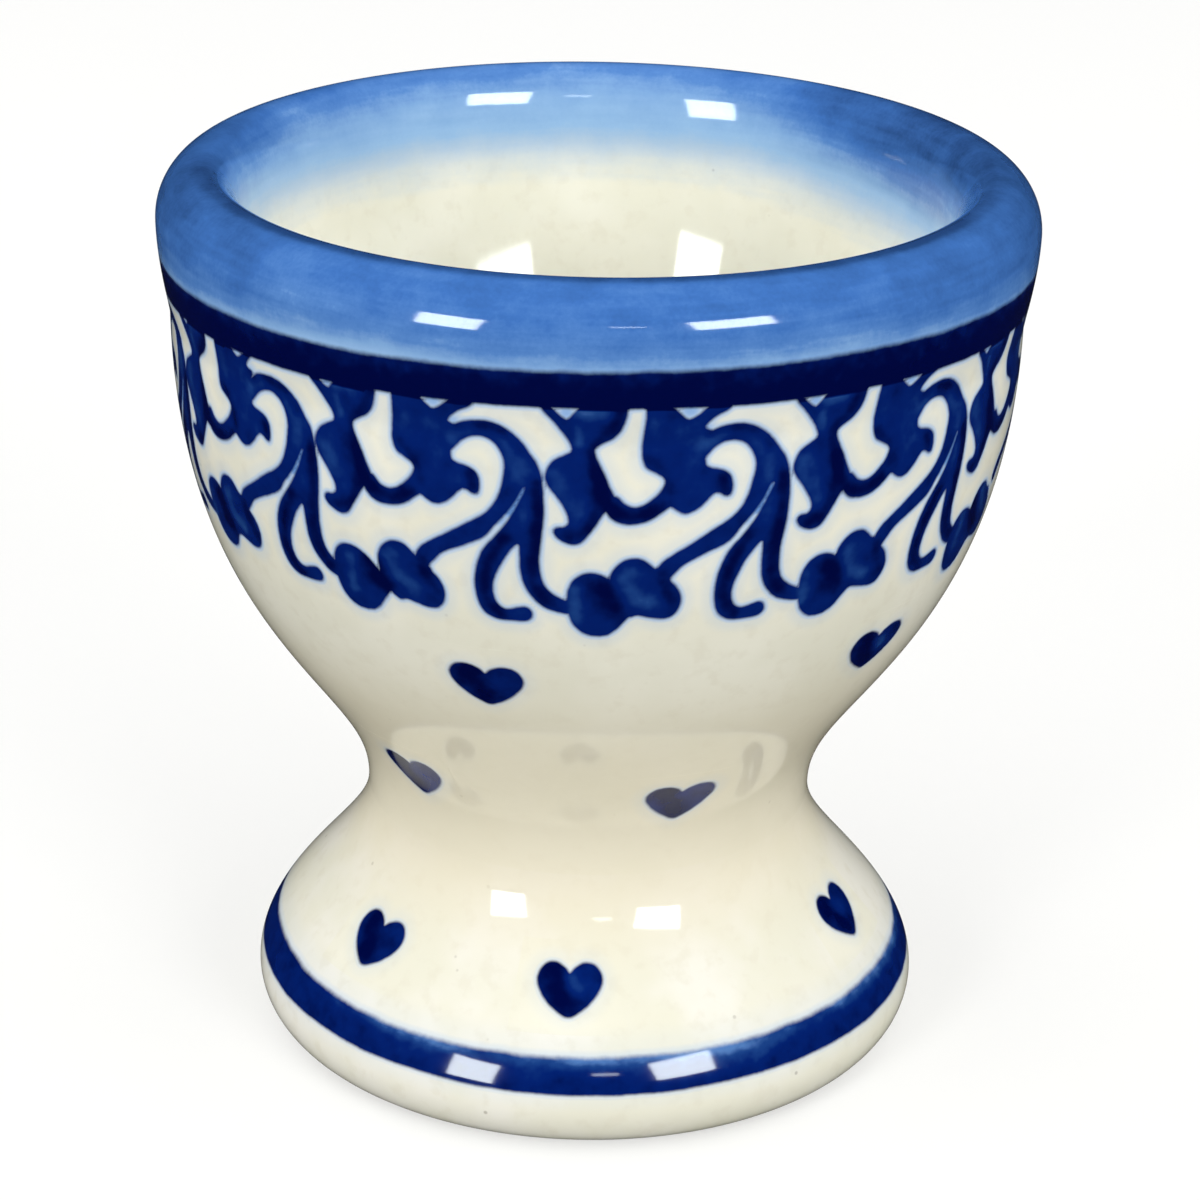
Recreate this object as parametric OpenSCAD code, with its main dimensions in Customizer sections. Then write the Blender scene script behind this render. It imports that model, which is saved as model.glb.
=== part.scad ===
// Egg cup of glazed stoneware: a bowl with a thick rolled lip on a flared, hollow foot.
// Millimetres, +Z up. The origin is the centre of the ring that the cup stands on.
// Everything is turned about the Z axis, apart from the stamped hearts.

/* [Lip] */
// Height from the table to the crest of the lip
cup_h = 56.2; // [54:0.1:62]
// Radius of the mouth, where the lip turns into the inside wall
mouth_r = 21.4; // [19.5:0.1:23.5]
// Distance of the crest, the lip's highest line, from the inside wall
crest_in = 2.2; // [1.5:0.1:3]
// How far the lip's widest line stands out from the wall below it
lip_over = 0.7; // [0.4:0.1:1.5]
// Height of the crest above the lip's widest line
lip_rise = 3.2; // [2.5:0.1:4.5]
// Height of the crest above the inside edge of the lip
mouth_drop = 4.6; // [3:0.1:6]
// Height over which the wall swells out to the lip's widest line
lip_swell = 5.7; // [4:0.1:7]

/* [Bowl] */
// Thickness of the wall where the swell of the lip begins
wall_t = 4.4; // [3.5:0.1:5]
// Thickness of the clay floor above the waist
floor_t = 3.4; // [2.5:0.1:6]

/* [Waist] */
// Radius at the waist, the narrowest place
waist_r = 14.1; // [12:0.1:16]
// Height of the waist above the table
waist_h = 15.7; // [14:0.1:17.5]
// Thickness of the slip that joins bowl and foot
slip_t = 0.6; // [0.4:0.1:1.5]

/* [Foot] */
// Widest radius of the foot
foot_r = 21.3; // [20:0.1:24]
// Height of the foot's widest line
foot_bulge_h = 2.8; // [1.5:0.1:3.6]
// How far the bare ring that touches the table lies inside the foot's widest line
tread_in = 2.6; // [2:0.1:3.5]
// Width of that ring
tread_w = 2.4; // [2:0.1:4]
// Height of the hollow under the foot
hollow_h = 10.5; // [7:0.1:12]

/* [Colour] */
// Thickness of the fired colour, which lies flush with the clay around it
colour_t = 0.25; // [0.2:0.01:0.4]
// Depth to which the sprayed blue reaches inside, below the crest
spray_drop = 7.7; // [6:0.1:12]
// Depth of the painted ring's upper edge below the crest
collar_drop = 4.5; // [4:0.1:6]
// Width of the painted ring under the lip
collar_w = 2; // [1.5:0.1:3]
// Height of the stamped belt under that ring
border_w = 13.6; // [11:0.1:14]
// Height of the lower edge of the painted ring on the foot
foot_band_h = 4.2; // [3.8:0.1:5]
// Width of the painted ring on the foot
foot_band_w = 1.8; // [1.2:0.1:2.4]

/* [Hearts] */
// Width of a single stamped heart
heart_w = 4.1; // [3:0.1:5]
// Height of a single stamped heart
heart_h = 3.4; // [2.5:0.1:4]
// Drop of the row of hearts on the lower bowl below the stamped belt
bowl_row_drop = 4.6; // [3.5:0.1:6]
// Rise of the next row of hearts above the waist
waist_row_rise = 5.2; // [4:0.1:6.5]
// Rise of the row of hearts on the foot above its painted ring
foot_row_rise = 3.4; // [2.8:0.1:4.5]

/* [Hidden] */

// Steps along each curve of the turned outline, and along a heart
wall_steps = 22;
lip_steps = 10;
heart_steps = 28;
$fn = 96;

// How far cutting bodies run past the surface that they cut
overrun = 1;

// Radii that follow from the named sizes
neck_r = mouth_r + wall_t;
lip_r = neck_r + lip_over;
crest_r = mouth_r + crest_in;
tread_r = foot_r - tread_in;
tread_inner_r = tread_r - tread_w;

// Heights that follow from the named sizes
lip_wide_h = cup_h - lip_rise;
neck_h = lip_wide_h - lip_swell;
mouth_h = cup_h - mouth_drop;
spray_h = cup_h - spray_drop;
collar_top_h = cup_h - collar_drop;
collar_h = collar_top_h - collar_w;
border_h = collar_h - border_w;
foot_band_top_h = foot_band_h + foot_band_w;
slip_low_h = waist_h - slip_t / 2;
slip_high_h = waist_h + slip_t / 2;
well_h = slip_high_h + floor_t;
bowl_row_h = border_h - bowl_row_drop;
waist_row_h = waist_h + waist_row_rise;
foot_row_h = foot_band_top_h + foot_row_rise;

// Handles of the smooth curves, as shares of the height or the radius that each one spans
bowl_low_share = 0.27;
bowl_high_share = 0.35;
swell_low_share = 0.12;
swell_high_share = 0.55;
foot_high_share = 0.38;
foot_low_share = 0.67;
well_side_share = 0.12;
well_floor_share = 0.75;
hollow_side_share = 0.58;
hollow_lean_share = 0.95;
hollow_roof_share = 0.62;

// Angles at which the single hearts are stamped, row by row, none quite even
bowl_row_angles = [-15, 47, 107, 164, 226, 284];
waist_row_angles = [-42, 20.5, 80, 141, 199, 260];
foot_row_angles = [-48, -3, 67, 118, 174, 231];

// A point on a smooth curve from a to d, drawn by the handles b and c
function curve(a, b, c, d, t) =
    a * pow(1 - t, 3) + b * 3 * t * pow(1 - t, 2) + c * 3 * t * t * (1 - t) + d * pow(t, 3);

// The points of such a curve, both ends among them
function curve_points(a, b, c, d) =
    [for (i = [0 : wall_steps]) curve(a, b, c, d, i / wall_steps)];

function reversed(list) = [for (i = [len(list) - 1 : -1 : 0]) list[i]];

// Outside wall of the bowl, from the waist up to the neck, and on up the swell of the lip
bowl_rise = neck_h - waist_h;
bowl_wall = concat(
    curve_points(
        [waist_r, waist_h],
        [waist_r, waist_h + bowl_low_share * bowl_rise],
        [neck_r, waist_h + bowl_high_share * bowl_rise],
        [neck_r, neck_h]),
    [for (p = curve_points(
        [neck_r, neck_h],
        [neck_r, neck_h + swell_low_share * lip_swell],
        [lip_r, neck_h + swell_high_share * lip_swell],
        [lip_r, lip_wide_h])) if (p[1] > neck_h) p]);

// Outside wall of the foot, from the table round the bulge and up to the waist
foot_rise = waist_h - foot_bulge_h;
foot_turn = [for (i = [0 : lip_steps - 1])
    [tread_r + (foot_r - tread_r) * sin(90 * i / lip_steps),
     foot_bulge_h * (1 - cos(90 * i / lip_steps))]];
foot_wall = concat(foot_turn, curve_points(
    [foot_r, foot_bulge_h],
    [foot_r, foot_bulge_h + (1 - foot_low_share) * foot_rise],
    [waist_r, foot_bulge_h + (1 - foot_high_share) * foot_rise],
    [waist_r, waist_h]));

// Inside wall of the bowl, from the middle of its floor up to the mouth
well_depth = mouth_h - well_h;
well_wall = curve_points(
    [0, well_h],
    [well_floor_share * mouth_r, well_h],
    [mouth_r, mouth_h - well_side_share * well_depth],
    [mouth_r, mouth_h]);

// Wall of the hollow under the foot, from the table up to the middle of its roof
hollow_wall = curve_points(
    [tread_inner_r, 0],
    [hollow_lean_share * tread_inner_r, hollow_side_share * hollow_h],
    [hollow_roof_share * tread_inner_r, hollow_h],
    [0, hollow_h]);

// Radius of a wall at a height
function radius_at(wall, h) = lookup(h, [for (p = wall) [p[1], p[0]]]);

// Angle by which a wall leans out at a height
function lean_at(wall, h) =
    atan2(radius_at(wall, h + overrun) - radius_at(wall, h - overrun), 2 * overrun);

// The stretch of a wall between two heights, bottom up, moved out by a distance
function stretch(wall, low, high, out = 0) = concat(
    [[radius_at(wall, low) + out, low]],
    [for (p = wall) if (p[1] > low && p[1] < high) [p[0] + out, p[1]]],
    [[radius_at(wall, high) + out, high]]);

// The lip from its widest line over its crest to the mouth, drawn in by a depth
function lip_line(inset = 0) = concat(
    [for (i = [1 : lip_steps - 1])
        [crest_r + (lip_r - crest_r - inset) * cos(90 * i / lip_steps),
         lip_wide_h + (lip_rise - inset) * sin(90 * i / lip_steps)]],
    [for (i = [0 : lip_steps - 1])
        [crest_r - (crest_r - mouth_r - inset) * sin(90 * i / lip_steps),
         mouth_h + (mouth_drop - inset) * cos(90 * i / lip_steps)]]);

// A turned skin between an outer line of points and an inner one
module turned_skin(outer, inner) {
    rotate_extrude() polygon(concat(outer, reversed(inner)));
}

// The skin of colour on a wall between two heights
module wall_skin(wall, low, high, proud = 0) {
    turned_skin(stretch(wall, low, high, proud), stretch(wall, low, high, -colour_t));
}

// Outline of a heart, a sum of waves whose shares give the cleft, the lobes and the point
heart_shares = [0.43, -0.17, -0.07, -0.03];
function heart_line() = [for (i = [0 : heart_steps - 1])
    let (a = 360 * i / heart_steps)
    [heart_w / 2 * pow(sin(a), 3),
     heart_h * (heart_shares[0] * cos(a) + heart_shares[1] * cos(2 * a)
                + heart_shares[2] * cos(3 * a) + heart_shares[3] * cos(4 * a))]];

// A row of hearts stamped on a wall, proud of it only where they cut their beds
module heart_row(wall, row_h, angles, proud = 0) {
    intersection() {
        wall_skin(wall, row_h - heart_h, row_h + heart_h, proud);
        for (a = angles)
            rotate(a)
                translate([0, -radius_at(wall, row_h), row_h])
                    rotate([90 + lean_at(wall, row_h), 0, 0])
                        linear_extrude(2 * overrun + colour_t, center = true)
                            polygon(heart_line());
    }
}

module bowl_hearts(proud = 0) {
    heart_row(bowl_wall, bowl_row_h, bowl_row_angles, proud);
    heart_row(bowl_wall, waist_row_h, waist_row_angles, proud);
}

module foot_hearts(proud = 0) {
    heart_row(foot_wall, foot_row_h, foot_row_angles, proud);
}

// The clay of the bowl, drawn in where colour lies on it
module bowl() {
    color("#efe8d6")
        difference() {
            rotate_extrude() polygon(concat(
                [[0, slip_high_h]],
                stretch(bowl_wall, slip_high_h, border_h),
                stretch(bowl_wall, border_h, lip_wide_h, -colour_t),
                lip_line(colour_t),
                reversed(stretch(well_wall, spray_h, mouth_h, colour_t)),
                reversed(stretch(well_wall, well_h, spray_h))));
            bowl_hearts(overrun);
        }
}

// The clay of the foot, hollow from below
module pedestal_foot() {
    color("#efe8d6")
        difference() {
            rotate_extrude() polygon(concat(
                stretch(foot_wall, 0, foot_band_h),
                stretch(foot_wall, foot_band_h, foot_band_top_h, -colour_t),
                stretch(foot_wall, foot_band_top_h, slip_low_h),
                [[0, slip_low_h]],
                reversed(hollow_wall)));
            foot_hearts(overrun);
        }
}

// The slip that joins them
module joint_slip() {
    color("#e6dcc4")
        rotate_extrude() polygon(concat(
            [[0, slip_low_h]],
            stretch(foot_wall, slip_low_h, waist_h),
            [[radius_at(bowl_wall, slip_high_h), slip_high_h], [0, slip_high_h]]));
}

// Sprayed blue over the lip, from the painted ring outside to its soft edge inside
module lip_colour() {
    color("#4f86c6")
        turned_skin(
            concat(stretch(bowl_wall, collar_top_h, lip_wide_h), lip_line(),
                   reversed(stretch(well_wall, spray_h, mouth_h))),
            concat(stretch(bowl_wall, collar_top_h, lip_wide_h, -colour_t), lip_line(colour_t),
                   reversed(stretch(well_wall, spray_h, mouth_h, colour_t))));
}

module collar_band() {
    color("#06114a") wall_skin(bowl_wall, collar_h, collar_top_h);
}

module vine_border() {
    color("#2b4c93") wall_skin(bowl_wall, border_h, collar_h);
}

module scattered_hearts() {
    color("#0d2468") {
        bowl_hearts();
        foot_hearts();
    }
}

module foot_band() {
    color("#0c2263") wall_skin(foot_wall, foot_band_h, foot_band_top_h);
}

bowl();
pedestal_foot();
joint_slip();
lip_colour();
collar_band();
vine_border();
scattered_hearts();
foot_band();
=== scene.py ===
import math
import bmesh
import bpy
import numpy as np
from mathutils import Matrix, Vector


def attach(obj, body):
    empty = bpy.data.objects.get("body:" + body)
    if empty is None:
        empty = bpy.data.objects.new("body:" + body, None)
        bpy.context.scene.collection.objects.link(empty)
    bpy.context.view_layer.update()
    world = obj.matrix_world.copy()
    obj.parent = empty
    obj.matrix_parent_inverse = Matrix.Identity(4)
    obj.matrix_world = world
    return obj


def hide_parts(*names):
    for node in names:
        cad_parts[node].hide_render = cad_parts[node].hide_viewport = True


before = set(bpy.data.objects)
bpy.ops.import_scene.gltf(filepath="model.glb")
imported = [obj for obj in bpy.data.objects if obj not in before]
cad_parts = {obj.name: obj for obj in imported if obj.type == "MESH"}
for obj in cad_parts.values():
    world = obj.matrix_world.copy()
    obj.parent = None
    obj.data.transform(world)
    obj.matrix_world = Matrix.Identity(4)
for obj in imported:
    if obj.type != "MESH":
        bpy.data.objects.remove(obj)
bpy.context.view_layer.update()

MM = 0.001

# Sizes of the cup in millimetres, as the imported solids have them
CUP_H = 56.2
MOUTH_R, CREST_R, NECK_R, LIP_R = 21.4, 23.6, 25.8, 26.5
LIP_RISE, MOUTH_DROP, LIP_SWELL = 3.2, 4.6, 5.7
WAIST_R, WAIST_H, SLIP_T, FLOOR_T = 14.1, 15.7, 0.6, 3.4
FOOT_R, BULGE_H, TREAD_R, TREAD_W, HOLLOW_H = 21.3, 2.8, 18.7, 2.4, 10.5
COLOUR_T, SPRAY_DROP, COLLAR_DROP, COLLAR_W, BORDER_W = 0.25, 7.7, 4.5, 2, 13.6
RING_LOW_H, RING_TOP_H = 4.2, 6.0

# Heights and a radius that follow from them
SPRAY_H = CUP_H - SPRAY_DROP
COLLAR_TOP_H = CUP_H - COLLAR_DROP
COLLAR_H = COLLAR_TOP_H - COLLAR_W
BORDER_H = COLLAR_H - BORDER_W
WIDE_H = CUP_H - LIP_RISE
NECK_H = WIDE_H - LIP_SWELL
MOUTH_H = CUP_H - MOUTH_DROP
SLIP_LOW_H, SLIP_TOP_H = WAIST_H - SLIP_T / 2, WAIST_H + SLIP_T / 2
WELL_H = SLIP_TOP_H + FLOOR_T
BORE_R = TREAD_R - TREAD_W

# Control points of the outlines' curves, as shares of the height or radius that they span
BOWL_LOW, BOWL_HIGH, SWELL_LOW, SWELL_HIGH = 0.27, 0.35, 0.12, 0.55
WELL_SIDE, WELL_BOTTOM, FOOT_LOW, FOOT_HIGH = 0.12, 0.75, 0.33, 0.62
HOLLOW_ROOF, HOLLOW_LEAN, HOLLOW_SIDE = 0.62, 0.95, 0.58


def bezier(a, b, c, d, steps=240):
    t = np.linspace(0, 1, steps + 1)[:, None]
    a, b, c, d = (np.array(p, float) for p in (a, b, c, d))
    return a * (1 - t)**3 + 3 * b * t * (1 - t)**2 + 3 * c * t * t * (1 - t) + d * t**3


def joined(*lines):
    """Lines end to end, without the points that would lie on each other."""
    line = np.concatenate(lines)
    gap = np.hypot(*np.diff(line, axis=0).T)
    return line[np.concatenate([[True], gap > 1e-5])]


# The outlines: radius and height, upwards outside and downwards inside
rise = NECK_H - WAIST_H
wall = joined(
    bezier((WAIST_R, WAIST_H), (WAIST_R, WAIST_H + BOWL_LOW * rise),
           (NECK_R, WAIST_H + BOWL_HIGH * rise), (NECK_R, NECK_H)),
    bezier((NECK_R, NECK_H), (NECK_R, NECK_H + SWELL_LOW * LIP_SWELL),
           (LIP_R, NECK_H + SWELL_HIGH * LIP_SWELL), (LIP_R, WIDE_H)))
quarter = np.linspace(0, math.pi / 2, 90)
lip = joined(
    np.stack([CREST_R + (LIP_R - CREST_R) * np.cos(quarter),
              WIDE_H + LIP_RISE * np.sin(quarter)], 1),
    np.stack([CREST_R - (CREST_R - MOUTH_R) * np.sin(quarter),
              MOUTH_H + MOUTH_DROP * np.cos(quarter)], 1))
depth = MOUTH_H - WELL_H
well = bezier((MOUTH_R, MOUTH_H), (MOUTH_R, MOUTH_H - WELL_SIDE * depth),
              (WELL_BOTTOM * MOUTH_R, WELL_H), (0, WELL_H))
foot_rise = WAIST_H - BULGE_H
foot_wall = joined(
    np.stack([TREAD_R + (FOOT_R - TREAD_R) * np.sin(quarter),
              BULGE_H * (1 - np.cos(quarter))], 1),
    bezier((FOOT_R, BULGE_H), (FOOT_R, BULGE_H + FOOT_LOW * foot_rise),
           (WAIST_R, BULGE_H + FOOT_HIGH * foot_rise), (WAIST_R, WAIST_H)))
hollow = bezier((0, HOLLOW_H), (HOLLOW_ROOF * BORE_R, HOLLOW_H),
                (HOLLOW_LEAN * BORE_R, HOLLOW_SIDE * HOLLOW_H), (BORE_R, 0))

# The well's wall comes in by up to half a millimetre below the mouth, and goes back to its
# curve lower down: heights, how far it comes in with each millimetre down, the number of
# steps in which that is summed, and the radius within which it dies out
LEAN_HEIGHTS = [25, 30, 36, 39.5, 41.5, 45, 48]
LEAN_SLOPES = [0, -0.05, -0.055, 0, 0.082, 0.082, 0]
LEAN_STEPS = 399
LEAN_END_R = 8
lean_run = np.linspace(LEAN_HEIGHTS[-1], LEAN_HEIGHTS[0], LEAN_STEPS + 1)
lean_step = (LEAN_HEIGHTS[-1] - LEAN_HEIGHTS[0]) / LEAN_STEPS
lean = np.maximum(np.cumsum(np.interp(lean_run, LEAN_HEIGHTS, LEAN_SLOPES)) * lean_step, 0)
well[:, 0] -= np.interp(well[:, 1], lean_run[::-1], lean[::-1]) * np.clip(well[:, 0] / LEAN_END_R, 0, 1)


def radius_at(line, height):
    order = np.argsort(line[:, 1])
    return np.interp(height, line[order, 1], line[order, 0])


def stretch(line, low, high, drawn_in=0.0):
    """The part of an outline between two heights, bottom up, drawn in by a depth."""
    order = np.argsort(line[:, 1], kind="stable")
    part = line[order]
    part = part[(part[:, 1] > low + 1e-4) & (part[:, 1] < high - 1e-4)]
    ends = [[radius_at(line, low), low]], [[radius_at(line, high), high]]
    part = np.concatenate([ends[0], part, ends[1]])
    part[:, 0] -= drawn_in
    return part


def run_along(line):
    """How far along a line each of its points lies."""
    return np.concatenate([[0], np.cumsum(np.hypot(*np.diff(line, axis=0).T))])


def run_at(line, height):
    """How far along an outline a height lies."""
    order = np.argsort(line[:, 1])
    return np.interp(height, line[order, 1], run_along(line)[order])


def spaced(line, step, guard=0.04):
    """A line with points at an even step, and a short step at either end, so that the
    shading of neighbouring pieces meets without a seam."""
    run = run_along(line)
    count = max(2, int(round(run[-1] / step)))
    marks = np.linspace(0, run[-1], count + 1)
    marks = np.concatenate([[0, guard], marks[1:-1], [run[-1] - guard, run[-1]]])
    return np.stack([np.interp(marks, run, line[:, 0]), np.interp(marks, run, line[:, 1])], 1)


# The painted and stamped ornament, drawn on the unrolled wall.
# Millimetres along the wall: U round it to the right of the front, V up it from BELT_H
BELT_H = 49.3
BELT_R = 25.4


def smooth_loop(points, closed=True, steps=6):
    """A soft curve through given points."""
    p = np.array(points, float)
    if closed:
        p = np.concatenate([p[-1:], p, p[:2]])
    else:
        p = np.concatenate([2 * p[:1] - p[1:2], p, 2 * p[-1:] - p[-2:-1]])
    t = np.linspace(0, 1, steps, endpoint=False)[:, None]
    out = []
    for a, b, c, d in zip(p, p[1:], p[2:], p[3:]):
        out.append(0.5 * (2 * b + (c - a) * t + (2 * a - 5 * b + 4 * c - d) * t**2
                          + (3 * b - a - 3 * c + d) * t**3))
    out = np.concatenate(out)
    return out if closed else np.concatenate([out, p[-2:-1]])


# The stamp with the curled leaf stem and its three tendrils
SCROLL = [
    (-7.9, -1.5), (-7.2, -0.95), (-6.4, -0.74), (-5.7, -0.72), (-5.0, -0.95), (-4.4, -1.35),
    (-3.9, -1.85), (-3.45, -2.5), (-3.1, -3.0), (-2.88, -3.6), (-2.76, -4.4), (-2.7, -5.4),
    (-2.74, -6.6), (-2.88, -7.8), (-2.96, -8.8), (-2.9, -9.7), (-2.7, -10.45), (-2.25, -11.0),
    (-1.6, -11.4), (-0.8, -11.7), (-0.6, -12.1), (-1.2, -12.28), (-2.0, -12.15), (-2.75, -11.85),
    (-3.4, -11.2), (-3.8, -10.4), (-3.98, -9.4), (-4.0, -8.5), (-4.05, -7.95), (-4.35, -8.1),
    (-4.85, -8.8), (-5.3, -9.7), (-5.6, -10.6), (-5.62, -11.4), (-5.35, -12.05), (-4.85, -12.3),
    (-4.25, -12.15), (-3.8, -12.05), (-3.5, -12.25), (-3.45, -12.65), (-3.75, -12.95),
    (-4.6, -13.02), (-5.5, -12.98), (-6.15, -12.6), (-6.5, -11.9), (-6.62, -10.9),
    (-6.52, -9.8), (-6.22, -8.85), (-5.85, -8.15), (-5.35, -7.55), (-4.75, -6.75),
    (-4.25, -5.9), (-3.86, -5.05), (-3.66, -4.5), (-3.84, -4.5), (-4.26, -5.3), (-4.8, -6.12),
    (-5.42, -6.88), (-6.0, -7.65), (-6.9, -8.15), (-7.8, -8.6), (-8.6, -9.05), (-9.1, -9.6),
    (-9.6, -10.1), (-10.1, -9.6), (-9.8, -8.9), (-9.1, -8.35), (-8.2, -7.78), (-7.2, -7.1),
    (-6.2, -6.45), (-5.6, -5.9), (-5.15, -5.1), (-4.88, -4.1), (-4.78, -3.2), (-5.0, -2.45),
    (-5.45, -1.9), (-6.05, -1.65), (-6.7, -1.72), (-7.25, -2.05), (-7.6, -2.45), (-8.0, -2.8),
    (-8.5, -2.6),
]
# The drop-shaped leaf at its right
DROP_LEAF = [
    (-3.0, 1.2), (-2.75, 0.3), (-2.2, -0.35), (-1.65, -1.1), (-1.3, -1.7), (-1.2, -2.2),
    (-1.65, -2.5), (-2.2, -2.85), (-2.5, -3.35), (-2.58, -3.8), (-2.4, -4.3), (-2.0, -4.85),
    (-1.6, -5.45), (-1.32, -6.05), (-1.3, -6.5), (-1.55, -6.74), (-1.95, -6.78),
    (-2.12, -6.98), (-1.98, -7.32), (-1.6, -7.6), (-1.1, -7.75), (-0.62, -7.6),
    (-0.25, -7.1), (0.12, -6.5), (0.45, -5.95), (0.72, -5.68), (0.95, -5.85), (1.2, -5.6),
    (1.15, -4.95), (0.85, -4.3), (0.55, -3.6), (0.28, -3.0), (0.06, -2.5), (0.02, -2.05),
    (0.38, -1.72), (0.95, -1.38), (1.38, -0.85), (1.58, -0.2), (1.66, 0.4), (1.7, 1.2),
]
# The broad toothed leaf beside it
TOOTHED_LEAF = [
    (2.72, 1.2), (2.72, 0.2), (2.66, -0.8), (2.58, -1.8), (2.6, -2.55), (2.8, -3.1),
    (3.3, -3.42), (3.72, -3.7), (3.86, -4.05), (3.6, -4.6), (3.15, -5.05), (2.7, -5.38),
    (2.2, -5.5), (1.7, -5.32), (1.25, -4.85), (0.95, -4.95), (0.72, -5.6), (0.9, -6.0),
    (1.35, -6.34), (2.0, -6.46), (2.7, -6.36), (3.3, -6.1), (3.8, -5.72), (4.18, -5.46),
    (4.55, -5.7), (5.0, -5.9), (5.5, -5.76), (5.95, -5.4), (6.3, -5.0), (6.6, -4.76),
    (6.9, -4.8), (7.2, -4.98), (7.45, -4.95), (7.55, -4.45), (7.45, -3.9), (7.15, -3.58),
    (6.7, -3.42), (6.3, -3.32), (6.0, -3.1), (5.95, -2.6), (6.0, -1.9), (6.3, -1.2),
    (6.02, -1.02), (5.85, -0.85), (6.0, -0.55), (6.5, -0.1), (7.0, 0.15), (7.4, 0.6),
    (7.4, 1.2),
]
# Two hearts, laid over each other
LEFT_HEART = [
    (-1.34, -11.9), (-1.36, -11.2), (-1.28, -10.6), (-1.02, -10.05), (-0.5, -9.66),
    (0.1, -9.6), (0.7, -9.82), (1.25, -10.25), (1.85, -10.95), (2.4, -11.85), (2.15, -12.4),
    (1.85, -12.8), (1.4, -13.4), (0.9, -13.74), (0.2, -13.82), (-0.4, -13.66), (-0.9, -13.2),
    (-1.14, -12.7),
]
RIGHT_HEART = [
    (1.02, -10.3), (1.04, -9.75), (1.3, -9.2), (1.72, -8.8), (2.2, -8.64), (2.7, -8.7),
    (3.1, -8.98), (3.45, -9.3), (3.9, -9.5), (4.3, -9.95), (4.42, -10.2), (4.74, -10.55),
    (4.96, -11.0), (5.05, -11.5), (4.92, -12.1), (4.55, -12.55), (4.0, -12.66),
    (3.3, -12.52), (2.6, -12.36), (2.1, -12.45), (1.5, -11.9), (1.1, -11.1),
]
# Chips of bare ground that stay open between the leaves and the painted collar
CHIPS = [
    [(-2.25, 0.55), (-2.1, 0.2), (-1.75, -0.15), (-1.45, -0.3), (-1.2, -0.05), (-0.95, 0.3),
     (-0.9, 0.55)],
    [(4.05, 0.7), (4.25, 0.3), (4.6, -0.1), (4.95, -0.34), (5.35, -0.15), (5.75, 0.2),
     (5.95, 0.6)],
]
# Strokes that lie darker in the stamped colour, and lighter: points, half width, strength
DARK_STROKES = [
    ([(-7.4, -1.25), (-6.2, -0.95), (-5.0, -1.3), (-4.0, -2.3)], 0.3, 0.7),
    ([(-3.1, -4.2), (-3.0, -6.0), (-3.2, -8.5), (-3.3, -10.2), (-2.6, -11.4)], 0.45, 0.9),
    ([(-4.9, -7.6), (-5.8, -9.4), (-6.1, -11.4), (-5.2, -12.7)], 0.4, 0.8),
    ([(1.35, 0.3), (0.9, -0.8), (0.0, -1.95), (0.1, -3.2), (0.5, -4.6), (0.8, -5.5)], 0.38, 0.8),
    ([(0.35, -3.6), (0.2, -5.2), (-0.3, -6.8), (-1.2, -7.3)], 0.45, 0.8),
    ([(1.2, -5.8), (2.4, -6.0), (3.5, -5.6)], 0.45, 0.9),
    ([(7.0, -3.9), (7.2, -4.6)], 0.35, 0.8),
    ([(2.9, -2.6), (3.6, -3.3), (4.2, -4.6)], 0.35, 0.5),
    ([(0.6, -10.5), (1.0, -11.4), (1.3, -11.9)], 0.75, 1.2),
    ([(3.9, -9.7), (4.1, -10.5), (4.7, -11.6)], 0.4, 0.6),
]
LIGHT_STROKES = [
    ([(-4.7, -1.95), (-4.1, -2.9), (-3.9, -4.0)], 0.6, 0.8),
    ([(-7.7, -1.9), (-6.8, -1.3)], 0.45, 0.7),
    ([(-3.6, -5.4), (-3.8, -6.6)], 0.4, 0.5),
    ([(-2.0, -3.5), (-1.5, -4.6), (-0.9, -5.8)], 0.65, 0.7),
    ([(-0.8, 0.2), (0.3, 0.15)], 0.5, 1.2),
    ([(-0.95, -0.8), (-0.8, -1.7)], 0.3, 0.9),
    ([(3.1, -0.5), (3.3, -2.0)], 0.45, 0.5),
    ([(5.0, -1.2), (5.6, -2.3), (5.0, -3.8), (6.0, -4.2)], 0.75, 0.4),
    ([(-0.95, -10.6), (-0.95, -12.6)], 0.45, 0.8),
    ([(0.3, -13.0), (0.9, -12.9)], 0.5, 0.4),
    ([(1.7, -10.0), (2.3, -11.1), (3.2, -11.6)], 0.55, 1.0),
    ([(2.2, -9.4), (2.8, -9.8)], 0.5, 0.4),
]
# Places where the ground between the stamps is tinted by thin blue: point, radius, depth
TINTS = [((5.0, 0.3), 0.9, 1.15), ((-1.5, 0.15), 0.7, 1.15), ((5.95, -0.8), 0.6, 1.0),
         ((-7.6, -0.9), 0.7, 1.0), ((-5.1, -6.5), 0.8, 1.1), ((-2.7, -3.9), 0.5, 1.0),
         ((-4.0, -5.0), 0.7, 2.2), ((-4.5, -5.8), 0.6, 2.0)]

# The stamps of one repeat. The repeats start at these places round the cup, first those in
# front from left to right, then the others, and each stamp sits a little beside its place
STAMPS = {"scroll": SCROLL, "drop": DROP_LEAF, "toothed": TOOTHED_LEAF,
          "left": LEFT_HEART, "right": RIGHT_HEART}
REPEATS = 12
STAMP_WANDER = 0.12
# How far one repeat reaches to the left and right of its start
REPEAT_LEFT, REPEAT_RIGHT = -12, 9.5
round_u = 2 * math.pi * BELT_R
repeats = [-41.0, -27.4, -13.7, 0.0, 13.6, 27.4, 41.0]
last = repeats[-1]
hidden = REPEATS - len(repeats)
repeats += [last + (round_u - 2 * last) * (i + 1) / (hidden + 1) for i in range(hidden)]
wander = np.random.default_rng(seed=12)
shifts = {}
for place in range(REPEATS):
    for stamp in STAMPS:
        shifts[place, stamp] = wander.normal(0, STAMP_WANDER, 2)
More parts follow.
